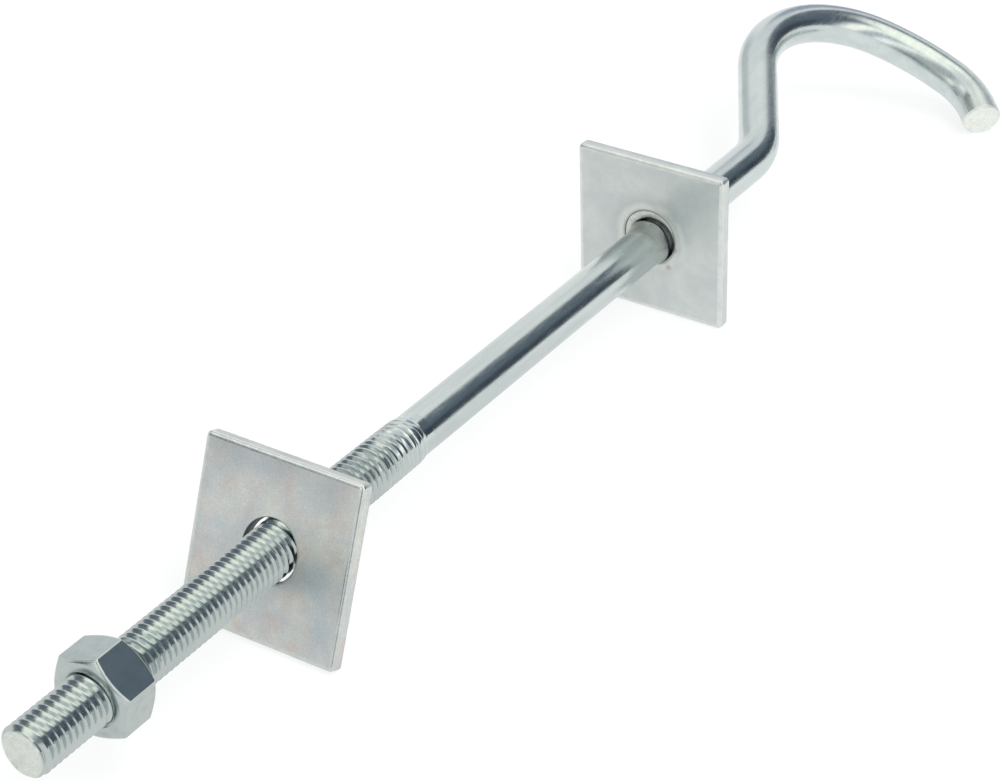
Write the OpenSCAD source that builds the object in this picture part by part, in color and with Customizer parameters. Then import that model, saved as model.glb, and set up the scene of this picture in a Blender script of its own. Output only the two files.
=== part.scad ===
// Through-bolt hook: a rod with a rolled thread at one end and a bent hook at the other,
// a square plate welded on near the hook, a loose square plate and a hex nut.
// X runs along the rod from the thread's free end to the hook and Z is up as the hook lies
// on its plates. The origin is on the rod's axis, where the thread's full diameter starts.

/* [Rod] */
// Outside diameter of the thread
thread_d = 11.84; // [11.7:0.02:12]
// Length of the full thread
thread_len = 106.5; // [90:0.5:112]
// Length over which the last threads fade into the shank
runout_len = 20; // [10:1:24]
// Diameter of the plain shank and of the hook
shank_d = 10.6; // [10.4:0.1:10.8]
// Length of the chamfer on the thread's tip
tip_chamfer = 0.6; // [0.3:0.1:1.2]

/* [Hook] */
// Distance along the rod at which the hook's first bend starts
hook_start = 278.7; // [255:0.1:300]
// Middle radius of the first bend, which leads away from the rod
offset_r = 23; // [16:1:30]
// Angle of the first bend
offset_angle = 32.5; // [25:0.5:38]
// Length of the straight after the first bend
offset_len = 28.5; // [22:0.5:34]
// Middle radius of the hook's crown
crown_r = 31.5; // [26:0.5:36]
// Angle of the crown
crown_angle = 101.5; // [90:0.5:104]
// Middle radius of the flatter stretch after the crown
flat_r = 59; // [50:1:70]
// Angle of the flatter stretch
flat_angle = 21.5; // [16:0.5:24]
// Middle radius of the bend before the hook's end
toe_r = 18.5; // [14:0.5:22]
// Angle of the bend before the hook's end
toe_angle = 41.5; // [36:0.5:46]
// Length of the straight at the hook's end
toe_len = 4.5; // [2:0.5:10]
// Chamfer round the hook's cut end
toe_chamfer = 0.5; // [0.2:0.1:1]

/* [Plates] */
// Side of both square plates
plate_w = 41; // [36:1:46]
// Thickness of both plates
plate_t = 3; // [2:0.5:4]
// Diameter of the hole in both plates
plate_hole_d = 14; // [13.4:0.1:15]
// Corner radius of both plates
plate_corner_r = 1.2; // [0.8:0.1:3]
// Radius that the shear leaves along the front edges of both plates
shear_r = 0.7; // [0.3:0.1:0.8]
// Distance along the rod of the welded plate's front face
welded_at = 229.6; // [205:0.1:250]
// Distance along the rod of the loose plate's middle
loose_at = 77.2; // [66:0.1:84]

/* [Weld] */
// Leg of the weld bead between the rod and the welded plate
bead_leg = 4.4; // [4.2:0.1:6]

/* [Nut] */
// Width of the nut across its flats
nut_af = 18; // [17:0.5:19]
// Height of the nut
nut_h = 10; // [8:0.2:10.8]
// Distance along the rod of the nut's front face
nut_at = 18.4; // [16:0.1:24]
// Turn of the nut about the rod
nut_turn = 43.4; // [0:0.1:60]
// Angle of the chamfer on the nut's corners
nut_chamfer_angle = 30; // [20:1:35]
// Diameter of the countersink at each mouth of the nut's bore
nut_mouth_d = 13; // [12.4:0.1:14]

/* [Fit] */
// Clearance on the radius between the thread and the nut
thread_clearance = 0.05; // [0.02:0.01:0.09]
// Gap between the rod and the side of the welded plate's hole that it lies against
seat_gap = 0.05; // [0.02:0.01:0.1]
// Gap between the thread and the two edges of the loose plate's hole that it leans on
lean_gap = 0.04; // [0.02:0.01:0.1]

/* [Hidden] */
$fn = 96;
// Overlap that lets one cut pass through the face of another
eps = 0.01;
zinc = [0.78, 0.81, 0.80];
weld_metal = [0.55, 0.53, 0.50];

// The welded plate's hole rides high, because the rod lay on its lower side when it was welded
plate_rise = (plate_hole_d - shank_d) / 2 - seat_gap;
// The loose plate leans, top towards the hook, until both edges of its hole meet the thread
loose_lean = acos((thread_d + 2 * lean_gap) / norm([plate_hole_d, plate_t])) - atan(plate_t / plate_hole_d);

// Straight, bend radius and bend angle of each stretch of the hook, in its own plane
hook_path = [
    [0, offset_r, offset_angle],
    [offset_len, crown_r, -crown_angle],
    [0, flat_r, -flat_angle],
    [0, toe_r, -toe_angle]
];
// Length to each side and height of the faint swelling that joins two stretches of the hook
seam_len = 1;
seam_lift = 0.03;
// Share of the rod's radius that the toe's lowest point has below its centre, as it slopes down
toe_share = 0.95;
// The hook's plane leans until its toe lies on the same surface as the welded plate's lower edge
toe_drop = -path_rise(hook_path);
hook_lean = asin((plate_w / 2 - plate_rise - toe_share * shank_d / 2) / toe_drop);

// Shallow bead, flattened by a throat cut from the full triangle
bead_throat = bead_leg * 0.3;
bead_flat = bead_throat * 1.6;

nut_corner_d = nut_af / cos(30);
nut_bore_d = thread_d + 2 * thread_clearance;
// Diameter of the flat ring that the corner chamfer leaves on each end of the nut
nut_face_share = 0.93;
nut_face_d = nut_af * nut_face_share;

// How far the end of a path lies to the left of its start, measured in the hook's plane
function path_rise(path, i = 0, heading = 0) =
    i == len(path)
        ? toe_len * sin(heading)
        : let (turned = heading + path[i][2])
          path[i][0] * sin(heading)
          + sign(path[i][2]) * path[i][1] * (cos(heading) - cos(turned))
          + path_rise(path, i + 1, turned);

// Turns what is drawn along Z so that it runs along the rod
module along_rod(x = 0) {
    translate([x, 0, 0]) rotate([0, 90, 0]) children();
}

// Round bar from x to x + l, with its own radius at each end
module bar(x, l, r1, r2) {
    along_rod(x) cylinder(h = l, r1 = r1, r2 = r2);
}

// Part of a ring that bends the bar in its plane, to the left for a positive angle
module bend(r, angle) {
    side = sign(angle);
    translate([0, side * r, 0])
        mirror([0, side > 0 ? 0 : 1, 0])
            rotate([0, 0, -90])
                rotate_extrude(angle = abs(angle))
                    translate([r, 0]) circle(d = shank_d);
}

// Faint swelling across the joint between two stretches, a cone from each side
module seam() {
    low = shank_d / 2 - seam_lift;
    high = shank_d / 2 + seam_lift;
    bar(-seam_len, seam_len, low, high);
    bar(0, seam_len, high, low);
}

// Lays the stretches of the hook one after another and then its cut end
module hook_stretches(path, i = 0) {
    seam();
    if (i == len(path)) {
        bar(0, toe_len - toe_chamfer, shank_d / 2, shank_d / 2);
        bar(toe_len - toe_chamfer, toe_chamfer, shank_d / 2, shank_d / 2 - toe_chamfer);
    } else {
        straight = path[i][0];
        r = path[i][1];
        angle = path[i][2];
        if (straight > 0) bar(0, straight, shank_d / 2, shank_d / 2);
        translate([straight, 0, 0]) {
            if (straight > 0) seam();
            bend(r, angle);
            translate([r * sin(abs(angle)), sign(angle) * r * (1 - cos(angle)), 0])
                rotate([0, 0, angle])
                    hook_stretches(path, i + 1);
        }
    }
}

module hook_rod() {
    color(zinc) {
        bar(-tip_chamfer, tip_chamfer, thread_d / 2 - tip_chamfer, thread_d / 2);
        bar(0, thread_len, thread_d / 2, thread_d / 2);
        bar(thread_len, runout_len, thread_d / 2, shank_d / 2);
        bar(thread_len + runout_len, hook_start - thread_len - runout_len, shank_d / 2, shank_d / 2);
        translate([hook_start, 0, 0]) rotate([hook_lean, 0, 0]) hook_stretches(hook_path);
    }
}

// Outline of a plate: a square with round corners
module plate_outline() {
    half = plate_w / 2 - plate_corner_r;
    square([plate_w, 2 * half], center = true);
    square([2 * half, plate_w], center = true);
    for (x = [-half, half], y = [-half, half]) translate([x, y]) circle(r = plate_corner_r);
}

// What a shear's rounding takes off one front edge
module shear_cut() {
    translate([0, plate_w / 2 - shear_r, shear_r])
        rotate([0, 90, 0])
            linear_extrude(plate_w + 2, center = true)
                difference() {
                    square(shear_r + 1);
                    circle(r = shear_r);
                }
}

// Square plate with its front face at z = 0 and its hole in the middle
module square_plate() {
    difference() {
        linear_extrude(plate_t) plate_outline();
        translate([0, 0, -eps]) cylinder(h = plate_t + 2 * eps, d = plate_hole_d);
        for (turn = [0:90:270]) rotate([0, 0, turn]) shear_cut();
    }
}

module welded_plate() {
    color(zinc) translate([0, 0, plate_rise]) along_rod(welded_at) square_plate();
}

module loose_plate() {
    color(zinc)
        translate([loose_at, 0, 0])
            rotate([0, loose_lean, 0])
                along_rod(-plate_t / 2) square_plate();
}

// Ring of weld metal in the corner between the rod and the welded plate's back
module weld_bead() {
    color(weld_metal)
        along_rod(welded_at + plate_t)
            rotate_extrude()
                translate([shank_d / 2, 0])
                    polygon([[0, 0], [bead_leg, 0], [bead_leg - bead_throat, bead_flat],
                             [bead_flat, bead_leg - bead_throat], [0, bead_leg]]);
}

// Cone that takes the corners off the front end of the nut, carried on as a drum to the middle
module nut_end() {
    reach = (nut_corner_d - nut_face_d) / 2 + 1;
    drop = reach * tan(nut_chamfer_angle);
    drum_d = nut_face_d + 2 * reach;
    cylinder(h = drop, d1 = nut_face_d, d2 = drum_d);
    translate([0, 0, drop - eps]) cylinder(h = nut_h / 2 - drop + eps, d = drum_d);
}

// Countersink at the front mouth of the nut's bore
module nut_mouth() {
    depth = (nut_mouth_d - nut_bore_d) / 2;
    translate([0, 0, -eps]) cylinder(h = depth + eps, d1 = nut_mouth_d + 2 * eps, d2 = nut_bore_d);
}

module hex_nut() {
    color(zinc)
        along_rod(nut_at)
            rotate([0, 0, nut_turn])
                difference() {
                    intersection() {
                        cylinder(h = nut_h, d = nut_corner_d, $fn = 6);
                        union() {
                            nut_end();
                            translate([0, 0, nut_h]) mirror([0, 0, 1]) nut_end();
                        }
                    }
                    translate([0, 0, -eps]) cylinder(h = nut_h + 2 * eps, d = nut_bore_d);
                    nut_mouth();
                    translate([0, 0, nut_h]) mirror([0, 0, 1]) nut_mouth();
                }
}

hook_rod();
welded_plate();
weld_bead();
loose_plate();
hex_nut();
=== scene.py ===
"""Looks for a zinc-plated through-bolt hook: threaded rod and hook, two square plates, weld and nut."""
import math

import bmesh
import bpy
from mathutils import Matrix, Quaternion, Vector, noise


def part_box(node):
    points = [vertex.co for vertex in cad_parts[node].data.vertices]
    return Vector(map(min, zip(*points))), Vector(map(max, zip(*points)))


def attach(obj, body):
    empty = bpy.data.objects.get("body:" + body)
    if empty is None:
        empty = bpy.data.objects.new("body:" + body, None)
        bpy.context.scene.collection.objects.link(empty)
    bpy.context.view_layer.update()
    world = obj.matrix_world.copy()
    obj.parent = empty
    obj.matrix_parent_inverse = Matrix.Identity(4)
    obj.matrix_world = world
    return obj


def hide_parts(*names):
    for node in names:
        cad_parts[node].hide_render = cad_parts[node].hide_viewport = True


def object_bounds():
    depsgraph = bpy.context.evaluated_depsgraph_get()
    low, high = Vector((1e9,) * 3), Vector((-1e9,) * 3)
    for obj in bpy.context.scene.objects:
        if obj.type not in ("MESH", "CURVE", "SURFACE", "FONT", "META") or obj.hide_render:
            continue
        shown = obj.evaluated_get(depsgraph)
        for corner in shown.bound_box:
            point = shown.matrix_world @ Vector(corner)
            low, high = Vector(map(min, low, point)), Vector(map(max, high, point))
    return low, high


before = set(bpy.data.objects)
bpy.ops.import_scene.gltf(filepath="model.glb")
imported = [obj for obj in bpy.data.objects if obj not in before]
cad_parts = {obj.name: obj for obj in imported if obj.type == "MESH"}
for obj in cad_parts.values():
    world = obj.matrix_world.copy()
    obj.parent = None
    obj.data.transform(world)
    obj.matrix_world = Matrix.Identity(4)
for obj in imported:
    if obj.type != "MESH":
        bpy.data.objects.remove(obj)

cad_low, cad_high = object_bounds()

# Sizes are in millimetres and turn to metres where a mesh is made
MM = 0.001
UM = 1e-6
# Angles in degrees from which an edge of each kind of piece is sharp
ROD_CREASE = 38
PLATE_CREASE = 50
NUT_CREASE = 32
WELD_CREASE = 60

# Rod and thread, the thread as rolled on a 12 mm bolt
THREAD_R = 5.92
THREAD_ROOT_R = 4.85
THREAD_PITCH = 1.75
# One turn of the thread: place along the pitch and height, from the root's middle
THREAD_TURN = ((0.0, 0.0), (0.07, 0.02), (0.12, 0.13), (0.40, 0.90), (0.45, 1.0), (0.55, 1.0),
               (0.60, 0.90), (0.88, 0.13), (0.93, 0.02))
# Where the first dark root passes the side that faces the camera
THREAD_PHASE_X = 0.127
THREAD_PHASE_ANGLE = math.radians(132.6)
# Turns beyond both ends of a thread, so that its slanting rows reach them all round
SPARE_TURNS = 3
# The run-out: where its grooves start and stop, its last step down to the shank, how much lower its
# crests get and how its grooves fade
RUNOUT_START = 108
RUNOUT_END = 127.2
RUNOUT_STEP = 3.2
RUNOUT_CREST_DROP = 0.2
RUNOUT_FADE = 1.3
SHANK_R = 5.3
SHANK_STEPS = 12
TIP_X = -0.6
TIP_FACE_R = 5.1
TIP_SLOPE = 1.0
ROD_COLUMNS = 72

# Hook, stretch by stretch: straight length, bend radius and bend angle, left is positive
HOOK_START = 278.7
HOOK_PATH = ((0, 23, 32.5), (28.5, 31.5, -101.5), (0, 59, -21.5), (0, 18.5, -41.5))
TOE_LEN = 4.5
TOE_CHAMFER = 0.5
HOOK_LEAN = math.radians(24.29)
# Distance between rings along a bend and along a straight
RING_STEP = 1.4
STRAIGHT_STEP = 4.2

# Plates
PLATE_HOLE_R = 7
PLATE_CORNER_R = 1.2
PLATE_COLUMNS = 192
CORNER_STEPS = 8
# The roll that the shear leaves along the front edges, the back edges' burr and the punched hole's lips
PLATE_ROLL_WIDE = 1.15
PLATE_ROLL_DEEP = 0.7
ROLL_STEPS = 7
PLATE_BURR_R = 0.15
FRONT_LIP_R = 0.3
BACK_LIP_R = 0.15
# Share of a small rounding's radius at which its middle row lies
ROUND_SHARE = 0.3
# How uneven the rolled edges and the sheared sides are, and over what length
ROLL_NICK = 0.06
SIDE_NICK = 0.08
NICK_LEN = 1.6
# Rows of a plate's face as shares of the way from its hole to its edge, and the shares over which its
# waves fade by the hole and by the edge
FACE_SHARES = (0.0, 0.02, 0.04, 0.06, 0.09, 0.12, 0.15, 0.18, 0.22, 0.27, 0.35, 0.48, 0.62, 0.77, 0.9, 1.0)
HOLE_FADE = 0.02
EDGE_FADE = 0.1
WAVE_LIFT = 0.03
WAVE_LEN = 9
# The ring that the weld's heat raised: how high, wide and steep it is, and how uneven
HEAT_LIFT = 0.24
HEAT_WIDE = 2.1
HEAT_RISE = 0.6
HEAT_FALL = 1.1
HEAT_UNEVEN_LIFT = 0.16
HEAT_UNEVEN_WIDE = 0.5
HEAT_UNEVEN_LEN = 3.5
HEAT_SEED = 4
WELDED_SEED = 1.0
LOOSE_SEED = 7.0
LOOSE_AT = 77.2
LOOSE_LEAN = math.radians(21.55)

# Nut
NUT_AF = 18
NUT_TURN = math.radians(43.4)
NUT_FACE_R = 8.37
NUT_CHAMFER = math.radians(30)
NUT_CORNER_WEAR = 0.05
NUT_MOUTH_R = 6.5
NUT_THREAD_GAP = 0.1
NUT_RIDGE_R = 5.15
NUT_GROOVE_R = 5.98
# Angles of its columns in degrees from one corner to the next, closer together at the corners
NUT_STEPS = (0, 0.7, 1.6, 3.5, 7, 12, 18, 24, 30, 36, 42, 48, 53, 56.5, 58.4, 59.3)
# Rows of its end face, from the mouth's lip to the chamfer's inner edge: depth and radius
NUT_FACE_ROWS = ((0.06, NUT_MOUTH_R - 0.06), (0, NUT_MOUTH_R + 0.08), (0, NUT_FACE_R - 0.15),
                 (0.05, NUT_FACE_R + 0.1))
# Rows from the chamfer into its sides: how far inside the side the chamfer's cone is met, how much
# deeper than that the row lies, and how far inside the side
NUT_EDGE_ROWS = ((0.5, 0, 0.5), (0.22, 0.04, 0.22), (0, 0.1, 0.07), (0, 0.34, 0), (0, 0.5, 0))

# Weld bead: its leg, how far short of that it stays and sways, and how full its face is at its feet
# and how much fuller in its middle
BEAD_LEG = 4.4
BEAD_SHORT = 0.45
BEAD_SWAY = 0.25
BEAD_SWAY_TURN = 1.7
BEAD_SEED = 3
BEAD_FULL = 0.80
BEAD_FULLER = 0.10
BEAD_FOOT_SHARE = 0.9
BEAD_COLUMNS = 240
BEAD_STEPS = 12
# Its ripples: how many, how high, how steep and how far they lag in its middle
BEAD_RIPPLES = 26
RIPPLE_LIFT = 0.16
RIPPLE_CURVE = 0.6
RIPPLE_LAG = 0.25
# Share of a ripple's height that goes outward and along, on a face that slants halfway
SLANT_SHARE = 0.7
# Gap between the bead and the rod
BEAD_GAP = 0.01

# Weld metal came through the plate's hole beside the rod, and left a smaller round gap off the middle
MELT_GAP_R = 6.3
MELT_GAP_AT = (-1.0, 0.62)
MELT_COLUMNS = 120
MELT_UNEVEN = 0.12
MELT_UNEVEN_DEPTH = 0.1
MELT_UNEVEN_TURN = 2.5
MELT_SEED = 11
# Its section, from the hole's wall to the gap and back: share of the way across and depth
MELT_SECTION = ((0, 0.2), (0.08, 0.08), (0.3, 0.02), (0.6, 0.04), (0.85, 0.16), (0.95, 0.32), (1, 0.7),
                (1, 2.6), (0, 2.6))
# How far it bites into the plate and the rod
WELD_BITE = 0.02
# It climbs the rod in front of the plate: how far ahead, how far off the rod, and off which side most
COLLAR_LEN = 4.5
COLLAR_LIFT = 0.7
COLLAR_SIDE = math.radians(50)
COLLAR_SIDE_SHARE = 0.25
COLLAR_UNEVEN = 0.3
COLLAR_UNEVEN_TURN = 1.3
COLLAR_SEED = 21
COLLAR_CURVE = 2.2
COLLAR_STEPS = 10
# Behind the plate's front it tucks in and then ends on the rod
COLLAR_TUCK_AT = 0.5
COLLAR_TUCK = 0.25
COLLAR_END_AT = 2

# Camera, as fitted to the photograph
CAMERA_AT = Vector((-280.85, -305.14, 332.01))
CAMERA_AIM = Vector((130.37, -22.05, 17.60))
CAMERA_ROLL = math.radians(1.86)
CAMERA_LENS = 98.93

# Floor, in metres: half its width, where the toe meets it, the stretch over which bright metal mirrors
# it darker near the thread's end, with both strengths, and how much of what is seen is its own glow
FLOOR_HALF = 6.0
TOE_REST_X = 0.357
FLOOR_TONE_X = (0.06, 0.33)
FLOOR_TONES = (0.68, 1.0)
FLOOR_GLOW = 0.8
FLOOR_MATT_TONE = "#f2f2f2"
FLOOR_GLOW_TONE = "#fdffff"

# How zinc varies: where its clouds start and are full, the grain's range, how much duller or glossier
# the grain makes it, and how far apart the clouds of two tints lie
CLOUD_RANGE = (0.42, 0.68)
GRAIN_RANGE = (0.3, 0.7)
GLOSSIER = 0.06
DULLER = 0.07
TINT_SHIFT = (0.017, 0.031, 0.011)
# Detail and roughness of the noise that makes the clouds, and of the grain's
CLOUD_NOISE = (4.0, 0.6)
GRAIN_NOISE = (3.0, 0.7)


def linear(hex_colour):
    """Linear colour of an sRGB hex value."""
    channels = [int(hex_colour[i:i + 2], 16) / 255 for i in (1, 3, 5)]
    turned = [c / 12.92 if c <= 0.04045 else ((c + 0.055) / 1.055) ** 2.4 for c in channels]
    return (*turned, 1.0)


def add_node(tree, kind, inputs=None, **settings):
    """Adds a node, sets it up, and links or fills its inputs."""
    node = tree.nodes.new(kind)
    for name, value in settings.items():
        setattr(node, name, value)
    for socket, value in (inputs or {}).items():
        if isinstance(value, bpy.types.NodeSocket):
            tree.links.new(value, node.inputs[socket])
        else:
            node.inputs[socket].default_value = value
    return node


def blend_step(x):
    """Smooth rise from 0 to 1."""
    x = min(max(x, 0), 1)
    return x * x * (3 - 2 * x)


def make_piece(name, bm, sharp_angle, materials, body, slot, *nodes):
    """Turns a bmesh in millimetres into a piece, which stands for CAD nodes or adds to them."""
    bmesh.ops.remove_doubles(bm, verts=bm.verts, dist=1e-4)
    bmesh.ops.recalc_face_normals(bm, faces=bm.faces)
    bmesh.ops.scale(bm, vec=(MM, MM, MM), verts=bm.verts)
    mesh = bpy.data.meshes.new(name)
    bm.to_mesh(mesh)
    bm.free()
    mesh.shade_smooth()
    mesh.set_sharp_from_angle(angle=math.radians(sharp_angle))
    piece = bpy.data.objects.new(name, mesh)
    bpy.context.scene.collection.objects.link(piece)
    for material in materials:
        mesh.materials.append(material)
    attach(piece, body)
    if nodes:
        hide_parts(*nodes)
    return piece


def join_rows(bm, rows, closed=True, finish=0):
    """Faces between neighbouring rows of vertices, in the piece's given material."""
    count = len(rows[0])
    for low, high in zip(rows, rows[1:]):
        for c in range(count if closed else count - 1):
            n = (c + 1) % count
            bm.faces.new((low[c], low[n], high[n], high[c])).material_index = finish


def fan(bm, ring, centre, finish=0):
    """Closes a ring of vertices with triangles to its centre."""
    middle = bm.verts.new(centre)
    for c, vertex in enumerate(ring):
        bm.faces.new((vertex, ring[(c + 1) % len(ring)], middle)).material_index = finish


def even_angles(count):
    """Angles spaced evenly round the rod."""
    return [math.tau * k / count for k in range(count)]


def turn_share(x, angle):
    """How far along its own turn the thread is at this place, from 0 to 1."""
    along = (x - THREAD_PHASE_X) / THREAD_PITCH
    return (along - (angle - THREAD_PHASE_ANGLE) / math.tau) % 1.0


def thread_height(share):
    """Height of the thread above its root, from 0 to 1."""
    points = (*THREAD_TURN, (1.0, 0.0))
    for (u0, h0), (u1, h1) in zip(points, points[1:]):
        if share <= u1:
            return h0 + (h1 - h0) * (share - u0) / (u1 - u0)
    return 0.0


def full_thread_radius(x, angle):
    """Radius of the full thread, as if it never ended."""
    return THREAD_ROOT_R + (THREAD_R - THREAD_ROOT_R) * thread_height(turn_share(x, angle))


def rod_radius(x, angle):
    """Radius of the threaded end: chamfered tip, full thread, then a run-out into the shank."""
    gone = max(0, (x - RUNOUT_START) / (RUNOUT_END - RUNOUT_START))
    crest = THREAD_R - RUNOUT_CREST_DROP * min(gone, 1)
    crest += (SHANK_R - crest) * blend_step((x - RUNOUT_END + RUNOUT_STEP) / RUNOUT_STEP)
    groove = max(0, 1 - thread_height(turn_share(x, angle)) - gone ** RUNOUT_FADE)
    radius = crest - (THREAD_R - THREAD_ROOT_R) * groove
    return min(radius, TIP_FACE_R + (x - TIP_X) * TIP_SLOPE)


def helix_rows(bm, columns, x_from, x_to, radius):
    """A tube whose rows follow the thread, squared off where it starts and ends."""
    per_turn = len(THREAD_TURN)
    first = math.floor((x_from - THREAD_PHASE_X) / THREAD_PITCH) - SPARE_TURNS
    last = math.ceil((x_to - THREAD_PHASE_X) / THREAD_PITCH) + SPARE_TURNS
    rows = []
    for turn in range(first, last):
        for share, _ in THREAD_TURN:
            row = []
            for angle in columns:
                lag = (angle - THREAD_PHASE_ANGLE) / math.tau
                x = THREAD_PHASE_X + THREAD_PITCH * (turn + share + lag)
                x = min(max(x, x_from), x_to)
                r = radius(x, angle)
                row.append(bm.verts.new((x, r * math.cos(angle), r * math.sin(angle))))
            rows.append(row)
    join_rows(bm, rows, closed=False)
    for i in range(len(rows) - per_turn - 1):
        ahead = i + per_turn
        bm.faces.new((rows[i][-1], rows[ahead][0], rows[ahead + 1][0], rows[i + 1][-1]))


def ring_about_x(bm, x, radius, columns):
    """A ring of vertices about the rod's axis; x and radius are numbers or functions of the angle."""
    ring = []
    for angle in columns:
        at = x(angle) if callable(x) else x
        r = radius(angle) if callable(radius) else radius
        ring.append(bm.verts.new((at, r * math.cos(angle), r * math.sin(angle))))
    return ring


def hook_stations():
    """Centre and heading of each ring from the shank to the toe, in the hook's own plane."""
    stations = [(Vector((HOOK_START, 0)), 0.0)]
    place, heading = stations[0]
    for straight, radius, turn in HOOK_PATH:
        ahead = Vector((math.cos(heading), math.sin(heading)))
        if straight:
            steps = math.ceil(straight / STRAIGHT_STEP)
            stations += [(place + ahead * straight * k / steps, heading) for k in range(1, steps + 1)]
        place = place + ahead * straight
        side = math.copysign(1, turn)
        centre = place + Vector((-ahead.y, ahead.x)) * radius * side
        steps = math.ceil(radius * abs(math.radians(turn)) / RING_STEP)
        for k in range(1, steps + 1):
            h = heading + math.radians(turn) * k / steps
            stations.append((centre + Vector((math.sin(h), -math.cos(h))) * radius * side, h))
        place, heading = stations[-1]
    ahead = Vector((math.cos(heading), math.sin(heading)))
    stations.append((place + ahead * (TOE_LEN - TOE_CHAMFER), heading))
    return stations, place + ahead * TOE_LEN, heading


def out_of_plane(flat, up=0.0):
    """Place in the row's frame of a point of the hook's leaning plane."""
    y = flat.y * math.cos(HOOK_LEAN) - up * math.sin(HOOK_LEAN)
    z = flat.y * math.sin(HOOK_LEAN) + up * math.cos(HOOK_LEAN)
    return Vector((flat.x, y, z))


def hook_ring(bm, place, heading, radius, columns):
    """A ring of the bent bar."""
    side = Vector((-math.sin(heading), math.cos(heading)))
    ring = []
    for angle in columns:
        turned = angle - HOOK_LEAN
        flat = place + side * radius * math.cos(turned)
        ring.append(bm.verts.new(out_of_plane(flat, radius * math.sin(turned))))
    return ring


def threaded_hook_rod(thread, cut, bar):
    """The rod in one piece: cut tip, thread, run-out, shank, hook and cut toe, each with its finish."""
    columns = even_angles(ROD_COLUMNS)
    thread_end = RUNOUT_END + THREAD_PITCH
    bm = bmesh.new()
    tip = ring_about_x(bm, TIP_X, lambda angle: rod_radius(TIP_X, angle), columns)
    fan(bm, tip, (TIP_X, 0, 0), 1)
    helix_rows(bm, columns, TIP_X, thread_end, rod_radius)
    rows = []
    for k in range(SHANK_STEPS + 1):
        x = thread_end + (HOOK_START - thread_end) * k / SHANK_STEPS
        rows.append(ring_about_x(bm, x, SHANK_R, columns))
    stations, toe, toe_heading = hook_stations()
    rows += [hook_ring(bm, place, heading, SHANK_R, columns) for place, heading in stations]
    join_rows(bm, rows, finish=2)
    rim = hook_ring(bm, toe, toe_heading, SHANK_R - TOE_CHAMFER, columns)
    join_rows(bm, [rows[-1], rim], finish=1)
    fan(bm, rim, out_of_plane(toe), 1)
    finishes = (thread, cut, bar)
    return make_piece("threaded_hook_rod", bm, ROD_CREASE, finishes, "hook", "rod_zinc", "hook_rod")


def square_outline(width, inset):
    """Points round a square with round corners, one for each column, moved in by inset."""
    half = width / 2
    straight = half - PLATE_CORNER_R
    per_side = PLATE_COLUMNS // 4
    points = []
    for side in range(4):
        turn = Matrix.Rotation(side * math.pi / 2, 2)
        for k in range(per_side):
            if k < CORNER_STEPS:
                a = -math.pi / 2 + (math.pi / 2) * k / CORNER_STEPS
                reach = PLATE_CORNER_R - inset
                p = Vector((straight, -straight)) + Vector((math.cos(a), math.sin(a))) * reach
            else:
                share = (k - CORNER_STEPS) / (per_side - CORNER_STEPS)
                p = Vector((half - inset, -straight + 2 * straight * share))
            points.append(turn @ p)
    return points


def plate_lift(y, z, seed, heat):
    """How far the plate's skin stands out of flat: a slight wave, and a heat-raised ring round a weld."""
    wave = WAVE_LIFT * noise.noise(Vector((y / WAVE_LEN, z / WAVE_LEN, seed)))
    if not heat:
        return wave
    r = math.hypot(y, z) - PLATE_HOLE_R
    uneven = noise.noise(Vector((y / HEAT_UNEVEN_LEN, z / HEAT_UNEVEN_LEN, seed + HEAT_SEED)))
    fall = blend_step((r - HEAT_WIDE - HEAT_UNEVEN_WIDE * uneven) / HEAT_FALL)
    ring = blend_step(r / HEAT_RISE) * (1 - fall)
    return wave + ring * (HEAT_LIFT + HEAT_UNEVEN_LIFT * uneven)


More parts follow.
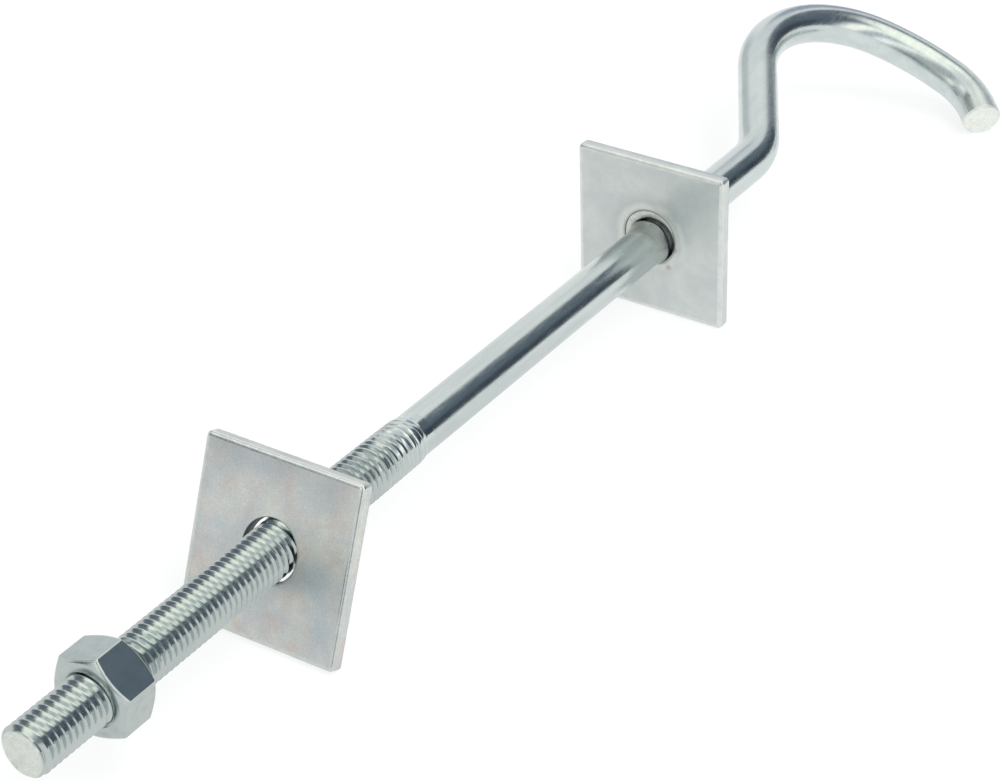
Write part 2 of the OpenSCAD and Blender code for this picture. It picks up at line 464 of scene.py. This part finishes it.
def square_plate(name, materials, body, slot, node, width, thick, place, lean, seed, heat):
    """A sheared square plate with a punched hole, made about its own middle and then leant and placed."""
    bm = bmesh.new()
    columns = square_outline(width, 0)
    angles = [math.atan2(p.y, p.x) for p in columns]

    def outline_row(x, inset, rough):
        row = []
        for p, q in zip(square_outline(width, inset), columns):
            nick = rough * noise.noise(Vector((q.x / NICK_LEN, q.y / NICK_LEN, seed + x)))
            row.append(bm.verts.new((x, p.x * (1 - nick / width), p.y * (1 - nick / width))))
        return row

    def hole_row(x, extra):
        r = PLATE_HOLE_R + extra
        return [bm.verts.new((x, r * math.cos(a), r * math.sin(a))) for a in angles]

    def face_rows(x, sign, edge_inset, hole_extra):
        rows = []
        outer = square_outline(width, edge_inset)
        inner_r = PLATE_HOLE_R + hole_extra
        for share in FACE_SHARES:
            row = []
            for a, p in zip(angles, outer):
                flat = Vector((math.cos(a), math.sin(a))) * inner_r * (1 - share) + p * share
                fade = min(1, share / HOLE_FADE, (1 - share) / EDGE_FADE)
                out = plate_lift(flat.x, flat.y, seed + sign, heat and sign < 0) * fade
                row.append(bm.verts.new((x + sign * out, flat.x, flat.y)))
            rows.append(row)
        return rows

    front = face_rows(0, -1, PLATE_ROLL_WIDE, FRONT_LIP_R)
    roll = [front[-1]]
    for k in range(1, ROLL_STEPS + 1):
        a = math.pi / 2 * k / ROLL_STEPS
        depth = PLATE_ROLL_DEEP * (1 - math.cos(a))
        roll.append(outline_row(depth, PLATE_ROLL_WIDE * (1 - math.sin(a)), ROLL_NICK))
    burr_middle = PLATE_BURR_R * ROUND_SHARE
    side = [
        roll[-1],
        outline_row(thick / 2, 0, SIDE_NICK),
        outline_row(thick - PLATE_BURR_R, 0, SIDE_NICK),
        outline_row(thick - burr_middle, burr_middle, ROLL_NICK),
    ]
    back = face_rows(thick, 1, PLATE_BURR_R, BACK_LIP_R)[::-1]
    lip = hole_row(FRONT_LIP_R * ROUND_SHARE, FRONT_LIP_R * ROUND_SHARE)
    hole = [back[-1], hole_row(thick - BACK_LIP_R, 0), hole_row(FRONT_LIP_R, 0), lip]
    join_rows(bm, front)
    join_rows(bm, roll, finish=2)
    join_rows(bm, side + back)
    join_rows(bm, hole, finish=1)
    join_rows(bm, [lip, front[0]])
    tilt = Matrix.Rotation(lean, 4, "Y")
    centre = Matrix.Translation(Vector((-thick / 2, 0, 0)))
    bmesh.ops.transform(bm, matrix=Matrix.Translation(place) @ tilt @ centre, verts=bm.verts)
    return make_piece(name, bm, PLATE_CREASE, materials, body, slot, node)


def hex_radius(angle, trim=0.0):
    """Distance from the nut's axis to its side, the corners slightly rounded, less the trim."""
    from_flat = ((angle - NUT_TURN) % (math.pi / 3)) - math.pi / 6
    corner_r = NUT_AF / 2 / math.cos(math.pi / 6) - NUT_CORNER_WEAR
    return min(NUT_AF / 2 / math.cos(from_flat), corner_r) - trim


def nut_columns():
    """Angles round the nut."""
    degrees = [60 * side + step for side in range(6) for step in NUT_STEPS]
    return sorted((NUT_TURN + math.radians(angle)) % math.tau for angle in degrees)


def threaded_nut(skin):
    """The nut: hexagon with turned chamfers, countersunk mouths and a cut thread."""
    low, high = (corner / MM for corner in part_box("hex_nut"))
    front, back = low.x, high.x
    mouth = NUT_MOUTH_R - THREAD_R - NUT_THREAD_GAP / 2
    columns = nut_columns()

    def bore(x, angle):
        fit = full_thread_radius(x, angle) + NUT_THREAD_GAP
        return min(max(fit, NUT_RIDGE_R), NUT_GROOVE_R)

    def cone(angle, start, way, trim):
        return start + way * (hex_radius(angle, trim) - NUT_FACE_R) * math.tan(NUT_CHAMFER)

    bm = bmesh.new()
    helix_rows(bm, columns, front + mouth, back - mouth, bore)
    rows = []
    for start, way in ((front, 1), (back, -1)):
        inner = start + way * mouth
        end = [ring_about_x(bm, inner, lambda angle: bore(inner, angle), columns)]
        for depth, radius in NUT_FACE_ROWS:
            end.append(ring_about_x(bm, start + way * depth, radius, columns))
        for met, deeper, trim in NUT_EDGE_ROWS:
            end.append(ring_about_x(bm, lambda angle: cone(angle, start, way, met) + way * deeper,
                                    lambda angle: hex_radius(angle, trim), columns))
        rows += end if way > 0 else end[::-1]
    join_rows(bm, rows)
    return make_piece("threaded_nut", bm, NUT_CREASE, [skin], "nut", "nut_zinc", "hex_nut")


def melted_ring(skin, bar):
    """Weld metal that fills part of the welded plate's hole and climbs the rod in front of it."""
    low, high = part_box("welded_plate")
    front = low.x / MM
    hole = Vector(((low.y + high.y) / 2, (low.z + high.z) / 2)) / MM
    shift = Vector(MELT_GAP_AT) - hole
    wall = PLATE_HOLE_R + WELD_BITE
    columns = even_angles(MELT_COLUMNS)
    bm = bmesh.new()
    rows = []
    for share, depth in MELT_SECTION:
        row = []
        for angle in columns:
            way = Vector((math.cos(angle), math.sin(angle)))
            along = way.dot(shift)
            gap = along + math.sqrt(MELT_GAP_R ** 2 - shift.length_squared + along ** 2)
            there = (way.x * MELT_UNEVEN_TURN, way.y * MELT_UNEVEN_TURN, MELT_SEED + share)
            uneven = noise.noise(Vector(there))
            reach = min(gap + MELT_UNEVEN * uneven, PLATE_HOLE_R - WELD_BITE)
            flat = hole + way * (wall - (wall - reach) * share)
            row.append(bm.verts.new((front + depth + MELT_UNEVEN_DEPTH * uneven, flat.x, flat.y)))
        rows.append(row)
    join_rows(bm, rows + rows[:1])

    def collar_radius(angle, rise):
        """Radius of the weld metal round the rod, where it has risen to this share of its height."""
        turned = (math.cos(angle) * COLLAR_UNEVEN_TURN, math.sin(angle) * COLLAR_UNEVEN_TURN, COLLAR_SEED)
        uneven = COLLAR_UNEVEN * noise.noise(Vector(turned))
        lift = COLLAR_LIFT * (1 + COLLAR_SIDE_SHARE * math.cos(angle - COLLAR_SIDE) + uneven)
        return SHANK_R - WELD_BITE + lift * rise

    collar = []
    for k in range(COLLAR_STEPS + 1):
        share = k / COLLAR_STEPS
        collar.append(ring_about_x(bm, front - COLLAR_LEN * (1 - share),
                                   lambda angle: collar_radius(angle, share ** COLLAR_CURVE), columns))
    collar.append(ring_about_x(bm, front + COLLAR_TUCK_AT,
                               lambda angle: collar_radius(angle, 1) - COLLAR_TUCK, columns))
    collar.append(ring_about_x(bm, front + COLLAR_END_AT, SHANK_R - WELD_BITE, columns))
    join_rows(bm, collar, finish=1)
    return make_piece("melted_through_ring", bm, WELD_CREASE, (skin, bar), "hook", "weld_metal")


def weld_bead(skin):
    """The bead in the corner behind the welded plate, laid in overlapping ripples."""
    low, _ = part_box("weld_bead")
    start = low.x / MM
    columns = even_angles(BEAD_COLUMNS)
    bm = bmesh.new()
    foot = ring_about_x(bm, start, SHANK_R + BEAD_GAP, columns)
    rows = [foot]
    for k in range(BEAD_STEPS + 1):
        across = math.pi / 2 * k / BEAD_STEPS
        middle = math.sin(2 * across)
        bulge = BEAD_FULL + BEAD_FULLER * middle
        row = []
        for angle in columns:
            lap = (angle * BEAD_RIPPLES / math.tau + RIPPLE_LAG * middle) % 1.0
            ripple = RIPPLE_LIFT * math.sin(math.pi * lap) ** RIPPLE_CURVE * middle
            turned = (math.cos(angle) * BEAD_SWAY_TURN, math.sin(angle) * BEAD_SWAY_TURN, BEAD_SEED)
            leg = BEAD_LEG - BEAD_SHORT + BEAD_SWAY * noise.noise(Vector(turned))
            out = leg * math.cos(across) * bulge + ripple * SLANT_SHARE
            along = leg * math.sin(across) * bulge + ripple * SLANT_SHARE
            if k == 0:
                along, out = 0, leg * BEAD_FOOT_SHARE
            if k == BEAD_STEPS:
                along, out = leg * BEAD_FOOT_SHARE, 0
            r = SHANK_R + BEAD_GAP + out
            row.append(bm.verts.new((start + along, r * math.cos(angle), r * math.sin(angle))))
        rows.append(row)
    join_rows(bm, rows + [foot])
    return make_piece("weld_bead_rippled", bm, WELD_CREASE, [skin], "hook", "weld_metal", "weld_bead")


def tint_where(tree, colour, mask, hex_tint):
    """Mixes a tint into a colour where the mask is 1."""
    mix = add_node(tree, "ShaderNodeMix", {"Factor": mask}, data_type="RGBA")
    if isinstance(colour, bpy.types.NodeSocket):
        tree.links.new(colour, mix.inputs["A"])
    else:
        mix.inputs["A"].default_value = linear(colour)
    mix.inputs["B"].default_value = linear(hex_tint)
    return mix.outputs["Result"]


def map_range(tree, value, low, high, new_low=0.0, new_high=1.0, blend="LINEAR"):
    """Maps one range of a value to another, and stays within it."""
    ranges = {"Value": value, "From Min": low, "From Max": high, "To Min": new_low, "To Max": new_high}
    return add_node(tree, "ShaderNodeMapRange", ranges, interpolation_type=blend).outputs["Result"]


def math_node(tree, operation, *values, clamp=False):
    """Result of one operation on values or outputs."""
    return add_node(tree, "ShaderNodeMath", dict(enumerate(values)), operation=operation,
                    use_clamp=clamp).outputs[0]


def noise_node(tree, place, grain_mm, detail, roughness):
    """Noise whose grains have this size."""
    return add_node(tree, "ShaderNodeTexNoise",
                    {"Vector": place, "Scale": 1 / (grain_mm * MM), "Detail": detail,
                     "Roughness": roughness}).outputs["Fac"]


def spot_mask(tree, place, centre_mm, radius_mm, edge_mm, uneven):
    """1 within a radius of a place, with a soft and uneven edge."""
    centre = Vector(centre_mm) * MM
    apart = add_node(tree, "ShaderNodeVectorMath", {0: place, 1: centre},
                     operation="DISTANCE").outputs["Value"]
    ragged = math_node(tree, "MULTIPLY_ADD", uneven, edge_mm * MM, apart)
    inner, outer = (radius_mm - edge_mm / 2) * MM, (radius_mm + edge_mm) * MM
    return map_range(tree, ragged, inner, outer, 1.0, 0.0, "SMOOTHSTEP")


def zinc_surface(name, colour, tints, rough, grain_mm, mottle_mm, bump_um, streak=1.0, spots=(), speck=0.0,
                 metal=1.0):
    """Plated steel: one metal whose tint, gloss and skin vary as electroplated zinc does."""
    material = bpy.data.materials.new(name)
    material.use_nodes = True
    tree = material.node_tree
    shader = tree.nodes["Principled BSDF"]
    shader.inputs["Metallic"].default_value = metal
    place = add_node(tree, "ShaderNodeTexCoord").outputs["Object"]
    drawn = add_node(tree, "ShaderNodeMapping", {"Vector": place, "Scale": (streak, 1, 1)}).outputs["Vector"]
    uneven = noise_node(tree, drawn, mottle_mm, *CLOUD_NOISE)
    grain = noise_node(tree, drawn, grain_mm, *GRAIN_NOISE)
    shade = colour
    for i, tint in enumerate(tints):
        moved = add_node(tree, "ShaderNodeVectorMath", {0: drawn, 1: [step * i for step in TINT_SHIFT]},
                         operation="ADD").outputs["Vector"]
        cloud = noise_node(tree, moved, mottle_mm * (1 + i), *CLOUD_NOISE)
        shade = tint_where(tree, shade, map_range(tree, cloud, *CLOUD_RANGE), tint)
    # Spots tint the colour in discs; on the welded plate two of them are a painted shade and a painted
    # highlight on the heat-raised ring
    for centre_mm, radius_mm, edge_mm, share, tint in spots:
        mask = spot_mask(tree, place, centre_mm, radius_mm, edge_mm, uneven)
        shade = tint_where(tree, shade, math_node(tree, "MULTIPLY", mask, share), tint)
    if speck:
        glint = map_range(tree, grain, *GRAIN_RANGE, 1 - speck, 1 + speck)
        shade = add_node(tree, "ShaderNodeVectorMath", {0: shade, 3: glint},
                         operation="SCALE").outputs["Vector"]
    gloss = map_range(tree, grain, *GRAIN_RANGE, rough - GLOSSIER, rough + DULLER)
    skin = math_node(tree, "ADD", uneven, grain)
    bump = add_node(tree, "ShaderNodeBump", {"Height": skin, "Distance": bump_um * UM, "Strength": 1.0})
    tree.links.new(shade, shader.inputs["Base Color"])
    tree.links.new(gloss, shader.inputs["Roughness"])
    tree.links.new(bump.outputs["Normal"], shader.inputs["Normal"])
    return material


# What bright metal mirrors of the studio between its cards
ROOM_TONE = "#fbfcfc"
# What stands round the studio, as bright metal mirrors it: the azimuth and elevation of its two
# sides and of its lower and upper edge in degrees, how soft its edges are, its colour and strength
STUDIO_CARDS = (
    ("back_wall", (92, 190), (-14, 62), 12, "#eceded", 0.94),
    ("front_wall", (-190, -150), (-2, 62), 8, "#c2c8cb", 1.0),
    ("far_wall", (50, 94), (-16, 29), 14, "#d6d9dc", 1.0),
    ("dark_back", (120, 149), (5, 25), 6, "#66707b", 1.0),
    ("grey_back", (93, 114), (27, 61), 6, "#939693", 1.0),
    ("dark_end", (-174, -156), (-18, 15), 7, "#858d92", 1.0),
    ("arm_end", (168, 190), (26, 62), 6, "#b4bcc0", 1.0),
    ("back_lamp", (152, 176), (15, 33), 5, "#fffff4", 1.2),
    ("dark_side", (-91, -7), (-8, 50), 6, "#606d7b", 1.0),
    ("dark_core", (-66, -12), (-6, 22), 6, "#3b4552", 1.0),
    ("blue_side", (7, 28), (-15, 33), 6, "#aab3c8", 1.0),
    ("high_lamp", (-142, -24), (53, 74), 5, "#fffff4", 1.5),
    ("far_high_lamp", (-24, 34), (56, 72), 6, "#fffff4", 1.2),
    ("back_high_lamp", (80, 121), (61, 77), 5, "#fffff4", 1.3),
    ("side_lamp", (-118, -98), (2, 49), 5, "#fffdf2", 1.55),
    ("lamp_gap", (-137, -118), (-2, 47), 6, "#bdc6d2", 1.0),
    ("front_side_lamp", (-150, -138), (2, 53), 4, "#fffffa", 1.5),
    ("edge_lamp", (119, 147), (41, 60), 5, "#ffffff", 1.3),
)


def studio_world():
    """A white room, with the cards and lamps round it that only bright metal shows."""
    world = bpy.data.worlds.new("studio")
    bpy.context.scene.world = world
    world.use_nodes = True
    tree = world.node_tree
    tree.nodes.clear()
    way = add_node(tree, "ShaderNodeTexCoord").outputs["Generated"]
    split = add_node(tree, "ShaderNodeSeparateXYZ", {0: way})
    azimuth = math_node(tree, "ARCTAN2", split.outputs["Y"], split.outputs["X"])
    elevation = math_node(tree, "ARCSINE", split.outputs["Z"])

    def window(value, low, high, soft):
        """1 between two edges given in degrees, each soft over so many degrees."""
        sides = [map_range(tree, value, math.radians(edge - soft / 2), math.radians(edge + soft / 2),
                           blend="SMOOTHSTEP") for edge in (low, high)]
        return math_node(tree, "SUBTRACT", *sides)

    seen = add_node(tree, "ShaderNodeRGB").outputs[0]
    seen.default_value = linear(ROOM_TONE)
    white = add_node(tree, "ShaderNodeRGB").outputs[0]
    white.default_value = linear("#ffffff")
    for name, sides, edges, soft, colour, strength in STUDIO_CARDS:
        there = math_node(tree, "MULTIPLY", window(azimuth, *sides, soft), window(elevation, *edges, soft))
        card = add_node(tree, "ShaderNodeMix", {"Factor": there}, data_type="RGBA", label=name)
        tree.links.new(seen, card.inputs["A"])
        card.inputs["B"].default_value = (*(c * strength for c in linear(colour)[:3]), 1.0)
        seen = card.outputs["Result"]
    rays = add_node(tree, "ShaderNodeLightPath")
    room = add_node(tree, "ShaderNodeMix", {"Factor": rays.outputs["Is Glossy Ray"]}, data_type="RGBA")
    tree.links.new(white, room.inputs["A"])
    tree.links.new(seen, room.inputs["B"])
    out = add_node(tree, "ShaderNodeBackground", {"Color": room.outputs["Result"], "Strength": 1.0})
    add_node(tree, "ShaderNodeOutputWorld", {"Surface": out.outputs[0]})


def pale_floor():
    """A pale floor that meets the loose plate's lower edge and the toe, and keeps a faint shadow."""
    loose_low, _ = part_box("loose_plate")
    rod_low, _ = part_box("hook_rod")
    slope = math.atan2(rod_low.z - loose_low.z, TOE_REST_X - loose_low.x)
    mesh = bpy.data.meshes.new("floor")
    half = FLOOR_HALF
    corners = [(-half, -half, 0), (half, -half, 0), (half, half, 0), (-half, half, 0)]
    mesh.from_pydata(corners, [], [(0, 1, 2, 3)])
    floor = bpy.data.objects.new("floor", mesh)
    bpy.context.scene.collection.objects.link(floor)
    floor.location = (loose_low.x, 0, loose_low.z)
    floor.rotation_euler = (0, -slope, 0)
    material = bpy.data.materials.new("pale_studio_floor")
    material.use_nodes = True
    tree = material.node_tree
    tree.nodes.clear()
    rays = add_node(tree, "ShaderNodeLightPath").outputs
    direct = math_node(tree, "ADD", rays["Is Camera Ray"], rays["Is Glossy Ray"])
    either = math_node(tree, "ADD", direct, rays["Is Transmission Ray"], clamp=True)
    matt = add_node(tree, "ShaderNodeBsdfDiffuse", {"Color": linear(FLOOR_MATT_TONE)})
    place = add_node(tree, "ShaderNodeNewGeometry").outputs["Position"]
    along = add_node(tree, "ShaderNodeSeparateXYZ", {0: place}).outputs["X"]
    mirrored = map_range(tree, along, *FLOOR_TONE_X, *FLOOR_TONES)
    tone = add_node(tree, "ShaderNodeMix", {"Factor": rays["Is Glossy Ray"], 2: 1.0, 3: mirrored})
    glow = add_node(tree, "ShaderNodeEmission",
                    {"Color": linear(FLOOR_GLOW_TONE), "Strength": tone.outputs[0]})
    share = math_node(tree, "MULTIPLY", either, FLOOR_GLOW)
    both = add_node(tree, "ShaderNodeMixShader", {"Fac": share, 1: matt.outputs[0], 2: glow.outputs[0]})
    add_node(tree, "ShaderNodeOutputMaterial", {"Surface": both.outputs[0]})
    mesh.materials.append(material)


def softbox(name, azimuth, elevation, distance, width, height, power):
    """A soft lamp aimed at the middle of the object."""
    middle = (cad_low + cad_high) / 2
    a, e = math.radians(azimuth), math.radians(elevation)
    way = Vector((math.cos(a) * math.cos(e), math.sin(a) * math.cos(e), math.sin(e)))
    light = bpy.data.lights.new(name, "AREA")
    light.shape = "RECTANGLE"
    light.size = width
    light.size_y = height
    light.energy = power
    lamp = bpy.data.objects.new(name, light)
    bpy.context.scene.collection.objects.link(lamp)
    lamp.location = middle + way * distance
    lamp.rotation_mode = "QUATERNION"
    lamp.rotation_quaternion = way.to_track_quat("Z", "Y")
    # Bright metal mirrors the room's own lamps instead
    lamp.visible_glossy = False


def photo_camera():
    """The photograph's viewpoint: a long lens close to the thread's end, turned slightly about its axis."""
    camera = bpy.data.cameras.new("camera")
    camera.sensor_width = 36
    camera.lens = CAMERA_LENS
    camera.clip_end = 30
    seat = bpy.data.objects.new("camera", camera)
    bpy.context.scene.collection.objects.link(seat)
    seat.location = CAMERA_AT * MM
    seat.rotation_mode = "QUATERNION"
    aimed = (CAMERA_AIM * MM - CAMERA_AT * MM).to_track_quat("-Z", "Y")
    seat.rotation_quaternion = aimed @ Quaternion((0, 0, 1), -CAMERA_ROLL)
    bpy.context.scene.camera = seat


photo_camera()
studio_world()
bpy.context.scene.view_settings.view_transform = "Standard"

# Marks on a surface, and on the welded plate painted light as well: centre, radius and soft edge in
# millimetres, share of the tint, and the tint.
# On the bar, the weld's heat
BAR_SPOTS = (
    ((227.5, 0, 0), 6.6, 1.6, 0.4, "#bfbcae"),
    ((230.5, 0, 0), 6.6, 1.0, 0.5, "#a5b0bb"),
)
# On the loose plate, grey clouds over its top and beside its hole
LOOSE_SPOTS = (
    ((84, 0, 19.5), 7.5, 7, 0.55, "#a9b0b3"),
    ((83, 14, 19.5), 7.5, 6, 0.5, "#a9b0b3"),
    ((83, -13, 17), 6.5, 6, 0.45, "#aab1b5"),
    ((75.5, -11.6, -2), 4.5, 4, 0.5, "#aebcc6"),
)
# On the welded plate, a darker grey painted shade round the outer edge of the heat-raised ring and a pale
# painted highlight over the ring itself, then a smear and two small burns by the hole
WELDED_MARKS_AND_PAINTED_RING = (
    # Painted shade: darker grey where the heat-raised ring falls away at its outer edge
    ((229.6, 0.5, 2.5), 11.0, 3.0, 0.5, "#b3bab9"),
    # Painted highlight: a pale band over the heat-raised ring
    ((229.6, 0, 1.65), 9.3, 1.2, 0.7, "#dcdfda"),
    ((229.6, -12.5, -9.5), 2.0, 3.0, 0.4, "#c3c2b4"),
    ((229.6, -7.3, 0.0), 1.0, 0.8, 0.55, "#a5978b"),
    ((229.6, -5.6, -5.3), 0.8, 0.7, 0.6, "#a98f8a"),
)
# The plates and the melted metal are a little matt by their passive film
PLATE_METAL = 0.85

# Bright zinc on rolled bar: a clean mirror with faint drawn streaks, and a heat tint by the weld
bar_zinc = zinc_surface("bright_zinc_bar", "#d0d8d6", ["#c5cece"], rough=0.22, grain_mm=0.7, mottle_mm=4.0,
                        bump_um=3, streak=0.12, spots=BAR_SPOTS)
# The thread is burnished by the rolls that form it
thread_zinc = zinc_surface("burnished_zinc_thread", "#d0d8d6", ["#c5cece"], rough=0.15, grain_mm=0.5,
                           mottle_mm=4.0, bump_um=4, streak=0.25)
# Its cut ends: rough, and bright as the plating gathers there
cut_zinc = zinc_surface("plated_cut_end", "#eff2ec", ["#e2e6e0"], rough=0.5, grain_mm=0.35, mottle_mm=1.5,
                        bump_um=30, speck=0.12)
# Bright zinc on cold-formed steel, with a coarser skin than the bar
nut_zinc = zinc_surface("bright_zinc_nut", "#ccd4d2", ["#c2cbca"], rough=0.20, grain_mm=0.4, mottle_mm=3.0,
                        bump_um=5)
# Zinc on sheared hot-rolled plate: a satin mottle with warm and cool clouds
loose_zinc = zinc_surface("satin_zinc_loose_plate", "#dddfda", ["#d4cbc5", "#c8d0d4"], rough=0.36,
                          grain_mm=0.4, mottle_mm=5.0, bump_um=18, spots=LOOSE_SPOTS, speck=0.12,
                          metal=PLATE_METAL)
# The welded plate is smoother
welded_zinc = zinc_surface("satin_zinc_welded_plate", "#d2d7d4", ["#cbd0ce", "#c5cccc"], rough=0.34,
                           grain_mm=0.4, mottle_mm=4.0, bump_um=9, spots=WELDED_MARKS_AND_PAINTED_RING, speck=0.04,
                           metal=PLATE_METAL)
# The roll that the shear burnishes along a plate's front edges
edge_zinc = zinc_surface("burnished_sheared_edge", "#e2e6e2", ["#d6dbd8"], rough=0.2, grain_mm=0.5,
                         mottle_mm=3.0, bump_um=12)
# The wall of a punched hole: dark grey and rough
hole_zinc = zinc_surface("dark_rough_zinc_in_hole", "#7d8688", ["#6a7376"], rough=0.5, grain_mm=0.3,
                         mottle_mm=1.2, bump_um=30)
# Plated weld metal: duller and darker, with heat tint
bead_zinc = zinc_surface("plated_weld_bead", "#b6b9b6", ["#9d9a93"], rough=0.4, grain_mm=0.4, mottle_mm=1.8,
                         bump_um=20)
# Where it came through the plate it is as bright as the plate
melt_zinc = zinc_surface("plated_melted_metal", "#d6dad5", ["#c2c0b8"], rough=0.34, grain_mm=0.4,
                         mottle_mm=1.5, bump_um=20, metal=PLATE_METAL)

threaded_hook_rod(thread_zinc, cut_zinc, bar_zinc)
threaded_nut(nut_zinc)
weld_bead(bead_zinc)
melted_ring(melt_zinc, bar_zinc)

welded_low, welded_high = (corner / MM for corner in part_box("welded_plate"))
plate_width = welded_high.y - welded_low.y
plate_thick = welded_high.x - welded_low.x
square_plate("welded_square_plate", (welded_zinc, hole_zinc, edge_zinc), "hook", "plate_zinc",
             "welded_plate", plate_width, plate_thick, place=(welded_low + welded_high) / 2, lean=0.0,
             seed=WELDED_SEED, heat=True)
square_plate("loose_square_plate", (loose_zinc, hole_zinc, edge_zinc), "plate", "plate_zinc",
             "loose_plate", plate_width, plate_thick, place=Vector((LOOSE_AT, 0, 0)), lean=LOOSE_LEAN,
             seed=LOOSE_SEED, heat=False)

pale_floor()
softbox("high_softbox", azimuth=-95, elevation=62, distance=1.1, width=0.5, height=0.5, power=5)
softbox("side_softbox", azimuth=-125, elevation=28, distance=1.0, width=0.3, height=0.5, power=4)
